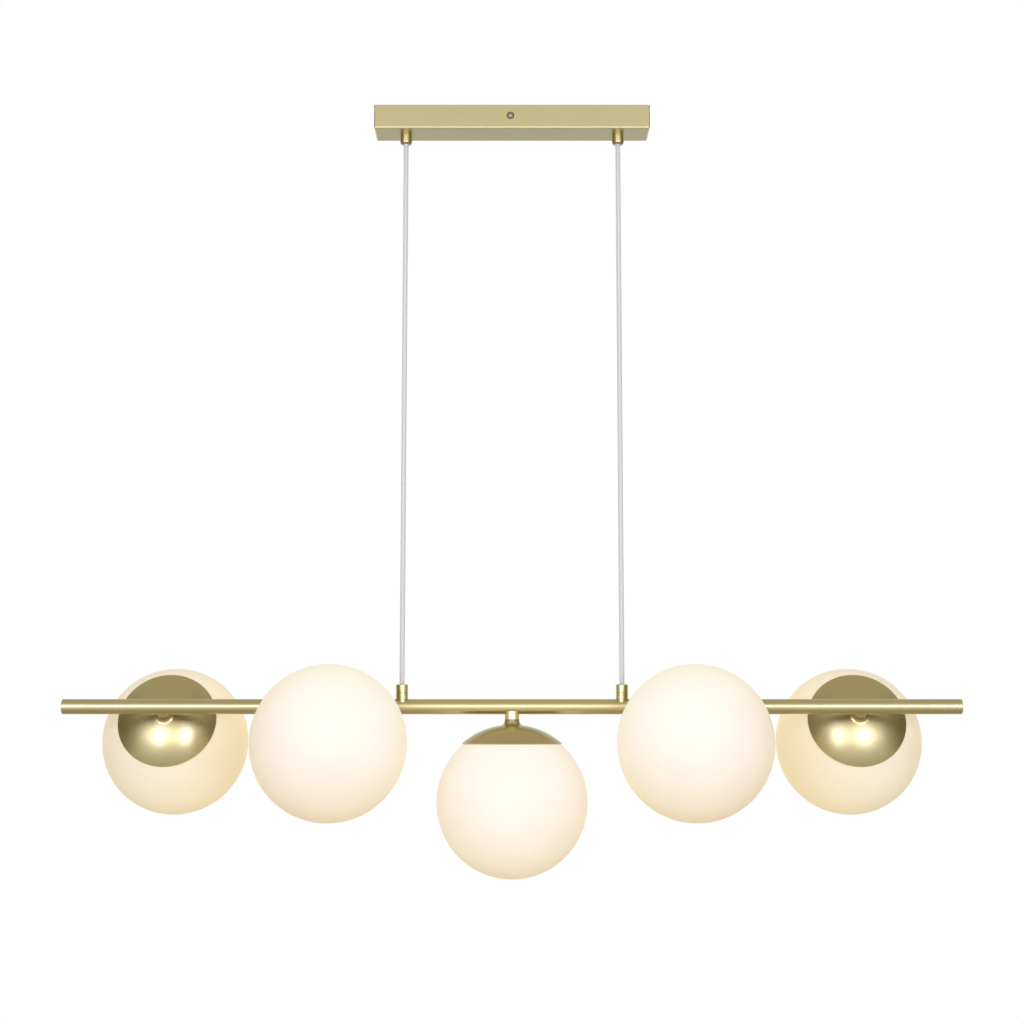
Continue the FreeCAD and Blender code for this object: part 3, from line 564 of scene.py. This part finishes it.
# Glow from bottom to top, of the globes in front and of the two behind the bar
# Partly the lamps' own glow, partly painted light on top and painted shade at the bottom; the two
# behind get a dimmer, painted shade
FRONT_GLOW = (
    (0.20, (0.462, 0.386, 0.292)),
    (0.40, (0.478, 0.424, 0.378)),
    (0.60, (0.495, 0.470, 0.474)),
    (0.86, (0.530, 0.530, 0.540)),
)
BACK_GLOW = (
    (0.20, (0.440, 0.378, 0.270)),
    (0.40, (0.434, 0.374, 0.266)),
    (0.60, (0.490, 0.418, 0.300)),
    (0.86, (0.405, 0.385, 0.360)),
)
# How much the glow goes by the height, by the nearness to the cap and by the clouds
RISE_WEIGHT, NEAR_WEIGHT, GLOW_CLOUD_WEIGHT = 0.78, 0.14, 0.08
# Painted shade and light: what the glow is multiplied by, on the side away from the middle lamp and
# on the side towards it
FRONT_SIDE_LIGHT_AND_SHADE = ((0.93, 0.875, 0.85), (1.02, 1.025, 1.01))
BACK_SIDE_LIGHT_AND_SHADE = ((0.90, 0.93, 1.00), (1.20, 1.13, 1.00))
EVEN_SIDES = ((1.0, 1.0, 1.0), (1.0, 1.0, 1.0))
SIDE_STOPS = (0.1, 0.9)
# Glass under the glow, with its clouds and the ripple of its surface
OPAL_DIM, OPAL_BRIGHT = (0.49, 0.47, 0.44), (0.52, 0.50, 0.47)
OPAL_SMOOTH, OPAL_ROUGH = 0.50, 0.60
OPAL_CLOUD_SCALE = 14.0
OPAL_DETAIL = 2.0
OPAL_COAT_TINT = (1.0, 0.978, 0.895)
RIPPLE_SCALE = 60.0
RIPPLE_BUMP = 0.06
RIPPLE_DEPTH = 0.0004


def opal(name, x, tilt, matrix):
    """Milky glass that glows, with painted light and shade in its glow: cooler and brighter on top,
    warm and dimmer towards the bottom.
    """
    nodes = Material(name)
    own = nodes.place(matrix)
    centre_z = (matrix @ Vector((0.0, 0.0, -ARM))).z
    rise = nodes.spread(nodes.place()["Z"], 0.0, 1.0, centre_z - GLASS, centre_z + GLASS)
    near = nodes.spread(own["Z"], 1.0, 0.0, -ARM - GLASS, -ARM + GLASS)
    cloud = nodes.noise(nodes.coordinates(), OPAL_CLOUD_SCALE, OPAL_DETAIL)
    share = nodes.weighted((rise, RISE_WEIGHT), (near, NEAR_WEIGHT), (cloud, GLOW_CLOUD_WEIGHT))
    glow = nodes.ramp(share, BACK_GLOW if tilt > 0 else FRONT_GLOW)
    reach = GLASS if x < 0 else -GLASS
    inward = nodes.spread(own["X"], 0.0, 1.0, -reach, reach)
    sides = BACK_SIDE_LIGHT_AND_SHADE if tilt > 0 else FRONT_SIDE_LIGHT_AND_SHADE if tilt < 0 else EVEN_SIDES
    # Painted shade on the outer side of the glow and painted light on the side towards the middle
    # lamp
    glow = nodes.blend(glow, nodes.ramp(inward, tuple(zip(SIDE_STOPS, sides))), 1.0, "MULTIPLY")
    body = nodes.ramp(cloud, ((NOISE_LOW, OPAL_DIM), (NOISE_HIGH, OPAL_BRIGHT)))
    rough = nodes.spread(cloud, OPAL_SMOOTH, OPAL_ROUGH, NOISE_LOW, NOISE_HIGH)
    nodes.set(Emission_Color=glow, Emission_Strength=1.0, Base_Color=body, Roughness=rough)
    nodes.set(Coat_Weight=1.0, Coat_Roughness=0.45, Coat_IOR=1.1, Coat_Tint=OPAL_COAT_TINT)
    nodes.set(Specular_IOR_Level=0.25)
    ripple = nodes.noise(nodes.coordinates(), RIPPLE_SCALE, OPAL_DETAIL)
    nodes.bump(ripple, RIPPLE_BUMP, RIPPLE_DEPTH)
    return nodes.material


def make_globes():
    profile = globe_profile()
    for number, x, tilt in LAMPS:
        matrix = lamp_matrix(x, tilt)
        globe_matrix = matrix @ Matrix.Translation((0.0, 0.0, -ARM))
        piece = lathe(f"opal_globe_{number}", profile, globe_matrix, GLASS_SEGMENTS, thread)
        glass = opal(f"opal_glass_{number}", x, tilt, matrix)
        dressed(piece, glass, f"globe_{number}", "opal_glass", f"globe_{number}")


make_globes()


# Materials of the CAD nodes, which keep their shapes; the grain follows how each piece is made

BRASS = linear(194, 181, 130)
# Painted light: the warm glow of the globes on the middle of the bar
GLOW_LIT_BRASS = linear(207, 192, 137)
CANOPY_BRASS = linear(174, 165, 120)
# Painted reflection: a lighter tone on the canopy's underside
UNDER_REFLECTION_BRASS = linear(188, 179, 135)
# Painted highlight on the canopy's rounded lower edge
RIM_HIGHLIGHT_BRASS = linear(220, 211, 160)
TURNED_BRASS = linear(213, 201, 150)
# Painted shade on the rounded mouth of an upper grip
MOUTH_SHADE_BRASS = linear(172, 160, 120)
ARM_BRASS = linear(222, 208, 160)
CAP_BRASS = linear(190, 176, 124)
# Painted shade on the cap's neck below the joint
NECK_SHADE_BRASS = linear(178, 162, 108)
JOINT_BRASS = linear(120, 106, 66)
CAP_EDGE = (0.72, 0.66, 0.37)


def paint_nodes(material, *names):
    for name in names:
        paint(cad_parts[name], material)


def paint_metalwork():
    # The bar's mark is painted warm light of the globes on its middle
    drawn_brass = metal(
        "brass_drawn_tube", BRASS, ALONG_X, roughness=0.375, wear=0.03, lacquer=1.0,
        marks=((painted_glow_on_bar, GLOW_LIT_BRASS, 0.0),))
    # Painted reflection: the canopy's underside is made lighter
    painted_underside_reflection = band(CANOPY_BOTTOM - UNDER_REACH, CANOPY_BOTTOM + UNDER_REACH)
    # Painted highlight on the canopy's rounded lower edge, in the marks below
    brushed_brass = metal(
        "brass_brushed_canopy", CANOPY_BRASS, ALONG_X, roughness=0.36, tone=0.012, wear=0.012,
        depth=0.0000015, marks=((painted_underside_reflection, UNDER_REFLECTION_BRASS, 0.0), (painted_rim_highlight, RIM_HIGHLIGHT_BRASS, 0.0)))
    # The upper grips get painted shade on their rounded mouths
    grip_brass = metal(
        "brass_turned_grip", TURNED_BRASS, ROUND_Z, roughness=0.27, tone=0.012, wear=0.01,
        depth=0.000001, marks=((band(*MOUTH), MOUTH_SHADE_BRASS, 0.0),))
    end_brass = metal("brass_turned_end", BRASS, ROUND_X, roughness=0.27)
    zinc = metal("zinc_steel", linear(190, 192, 194), ALONG_X, roughness=0.38, tone=0.10)
    nickel = metal("nickel_screw", linear(158, 143, 131), ROUND_Z, roughness=0.34, tone=0.08)
    paint_nodes(drawn_brass, "bar_tube")
    paint_nodes(brushed_brass, "canopy_shell")
    for side, _ in SIDES:
        paint_nodes(
            grip_brass, f"upper_grip_{side}", f"lower_grip_base_{side}", f"lower_grip_nut_{side}")
        paint_nodes(end_brass, f"end_cap_{side}")
    paint_nodes(zinc, "ceiling_bracket", "upper_grip_nuts", "lamp_nipples", "lamp_lock_nuts")
    paint_nodes(nickel, "canopy_lock_screws", "terminal_screws")


def paint_lamps(white_plastic):
    ceramic = moulded("ceramic", linear(238, 236, 228), roughness=0.62, speck=500.0)
    silicone = moulded("silicone", linear(226, 226, 220), roughness=0.35, clearness=0.35)
    for number, x, tilt in LAMPS:
        matrix = lamp_matrix(x, tilt)
        gap = (band(JOINT - GAP_BELOW, JOINT + GAP_ABOVE, matrix), JOINT_BRASS, JOINT_ROUGHER)
        # Painted shade on the neck of the cap, below the dark gap
        neck_shade = (band(JOINT - NECK_BELOW, JOINT - GAP_BELOW, matrix), NECK_SHADE_BRASS, JOINT_ROUGHER)
        arm_brass = metal(
            f"brass_turned_arm_{number}", ARM_BRASS, ROUND_Z, roughness=0.40, matrix=matrix,
            lacquer=0.0 if tilt > 0 else 1.0, marks=(gap,))
        cap_brass = metal(
            f"brass_spun_{number}", CAP_BRASS, ROUND_Z, roughness=0.32, matrix=matrix,
            lacquer=1.0, edge=CAP_EDGE, marks=(gap, neck_shade))
        paint_nodes(arm_brass, f"arm_{number}")
        paint_nodes(cap_brass, f"cap_{number}")
        paint_nodes(ceramic, f"lampholder_{number}")
        paint_nodes(silicone, f"gasket_{number}")
        paint_nodes(white_plastic, f"bulb_{number}")


def paint_wiring(white_plastic):
    paint_nodes(white_plastic, "terminal_block", "grip_bushings", "cord_collets")
    paint_nodes(cord_material, "canopy_lead_left", "canopy_lead_right", "wiring_harness")
    for side, _ in SIDES:
        paint_nodes(cord_material, f"cord_top_{side}", f"cord_foot_{side}")


plastic = moulded("white_plastic", linear(236, 236, 232), roughness=0.42)
paint_metalwork()
paint_lamps(plastic)
paint_wiring(plastic)


# Stage: pale floor below, white surroundings, soft lights

WHITE = (1.0, 1.0, 1.0)

FLOOR_Z = -1.8
FLOOR_RADIUS = 6.0
FLOOR_SEGMENTS = 96
FLOOR_TONE = (0.80, 0.77, 0.71)
FLOOR_ROUGHNESS = 0.9
# Distances from the middle between which the floor goes over into white for the camera
FLOOR_FADE = (1.0, 4.8)
# Painted reflection: colour of the floor seen in the metal, by its place from front to back as a
# share of the floor, with a warm painted pool of the globes' glow near the middle
MIRRORED_FLOOR_LIGHT = (
    (0.20, (0.90, 0.90, 0.90)),
    (0.30, (0.75, 0.75, 0.71)),
    (0.39, (0.66, 0.61, 0.50)),
    (0.455, (0.49, 0.42, 0.26)),
    (0.54, (0.48, 0.42, 0.30)),
    (0.70, (0.54, 0.51, 0.46)),
    (0.88, (0.77, 0.77, 0.82)),
)


def seen(nodes, path):
    """1 for the rays of the camera, also through glass, and 0 for those that light or mirror."""
    return nodes.calculate("MAXIMUM", path["Is Camera Ray"], path["Is Transmission Ray"])


def make_floor():
    builder = bmesh.new()
    bmesh.ops.create_circle(
        builder, cap_ends=True, radius=FLOOR_RADIUS, segments=FLOOR_SEGMENTS)
    bmesh.ops.translate(builder, verts=builder.verts, vec=(0.0, 0.0, FLOOR_Z))
    floor = new_piece("floor", builder)
    nodes = Material("pale_floor")
    nodes.set(Base_Color=FLOOR_TONE, Roughness=FLOOR_ROUGHNESS)
    place = nodes.place()
    path = nodes.new("ShaderNodeLightPath").outputs
    squares = [nodes.calculate("POWER", place[axis], 2.0) for axis in "XY"]
    reach = nodes.calculate("SQRT", nodes.calculate("ADD", *squares))
    fade = nodes.spread(reach, 0.0, 1.0, *FLOOR_FADE, "SMOOTHSTEP")
    faded = nodes.blend_shaders(
        nodes.shader.outputs["BSDF"], nodes.emission(WHITE),
        nodes.calculate("MULTIPLY", fade, seen(nodes, path)))
    back = nodes.spread(place["Y"], 0.0, 1.0, -FLOOR_RADIUS, FLOOR_RADIUS)
    # Painted reflection: the metal mirrors these fixed tones of the floor in place of its shading,
    # with a warm painted pool of the globes' glow
    painted_reflection = nodes.emission(nodes.ramp(back, MIRRORED_FLOOR_LIGHT))
    nodes.feed(nodes.surface, nodes.blend_shaders(faded, painted_reflection, path["Is Glossy Ray"]))
    paint(floor, nodes.material)


# Tone of the studio seen in the metal, by height of the direction from straight down to straight up
STUDIO_STOPS = (
    (0.0, (0.50, 0.50, 0.50)),
    (0.25, (0.80, 0.80, 0.80)),
    (0.37, (0.95, 0.95, 0.95)),
    (0.50, (1.05, 1.05, 1.05)),
    (0.645, (0.72, 0.72, 0.72)),
    (0.85, (0.60, 0.57, 0.47)),
    (1.0, (0.62, 0.56, 0.43)),
)
# Fades of the white backdrop behind the object and of the dark flags far to both sides
BACKDROP_FADE = (0.82, 1.0)
FLAG_FADE = (0.60, 0.97)
FLAG_TONE = (0.27, 0.22, 0.13)
DIFFUSE_TONE = (0.66, 0.64, 0.57)


def make_world():
    world = bpy.data.worlds.new("studio")
    scene.world = world
    world.use_nodes = True
    nodes = Nodes(world.node_tree)
    way = nodes.separate(nodes.new("ShaderNodeTexCoord").outputs["Generated"])
    path = nodes.new("ShaderNodeLightPath").outputs
    studio = nodes.ramp(nodes.spread(way["Z"], 0.0, 1.0, -1.0, 1.0), STUDIO_STOPS)
    backdrop = nodes.spread(way["Y"], 0.0, 1.0, *BACKDROP_FADE, "SMOOTHSTEP")
    studio = nodes.blend(studio, WHITE, backdrop)
    aside = nodes.calculate("ABSOLUTE", way["X"])
    flags = nodes.spread(aside, 0.0, 1.0, *FLAG_FADE, "SMOOTHSTEP")
    studio = nodes.blend(studio, FLAG_TONE, flags, "MULTIPLY")
    tone = nodes.blend(DIFFUSE_TONE, studio, path["Is Glossy Ray"])
    background = nodes.new("ShaderNodeBackground")
    nodes.feed(background.inputs["Color"], nodes.blend(tone, WHITE, seen(nodes, path)))
    output = nodes.new("ShaderNodeOutputWorld")
    nodes.feed(output.inputs["Surface"], background.outputs["Background"])


def soft_light(name, place, aim, width, height, radiance, colour):
    """A panel whose face is as bright as asked, 1 being white, in the metal that shows it."""
    data = bpy.data.lights.new(name, "AREA")
    data.shape = "RECTANGLE"
    data.size = width
    data.size_y = height
    data.energy = radiance * math.pi * width * height
    data.color = colour
    light = bpy.data.objects.new(name, data)
    light.location = place
    light.rotation_euler = (Vector(aim) - Vector(place)).to_track_quat("-Z", "Y").to_euler()
    light.visible_camera = False
    scene.collection.objects.link(light)


def make_lights():
    middle = (0.0, 0.0, -0.5)
    for side, sign in (("left", -1), ("right", 1)):
        soft_light(
            f"{side}_front", place=(1.18 * sign, -2.9, -0.14), aim=middle, width=0.9, height=1.25,
            radiance=4.15, colour=(0.87, 0.92, 1.42))
        soft_light(
            f"{side}_wing", place=(2.10 * sign, -2.6, -0.06), aim=middle, width=0.9, height=0.9,
            radiance=1.6, colour=(0.95, 1.0, 1.10))
    soft_light(
        "front_panel", place=(0.0, -3.0, -0.05), aim=(0.0, 0.0, -0.40), width=3.2, height=1.4,
        radiance=1.35, colour=(1.0, 0.96, 0.98))


make_floor()
make_world()
make_lights()

scene.view_settings.view_transform = "Standard"
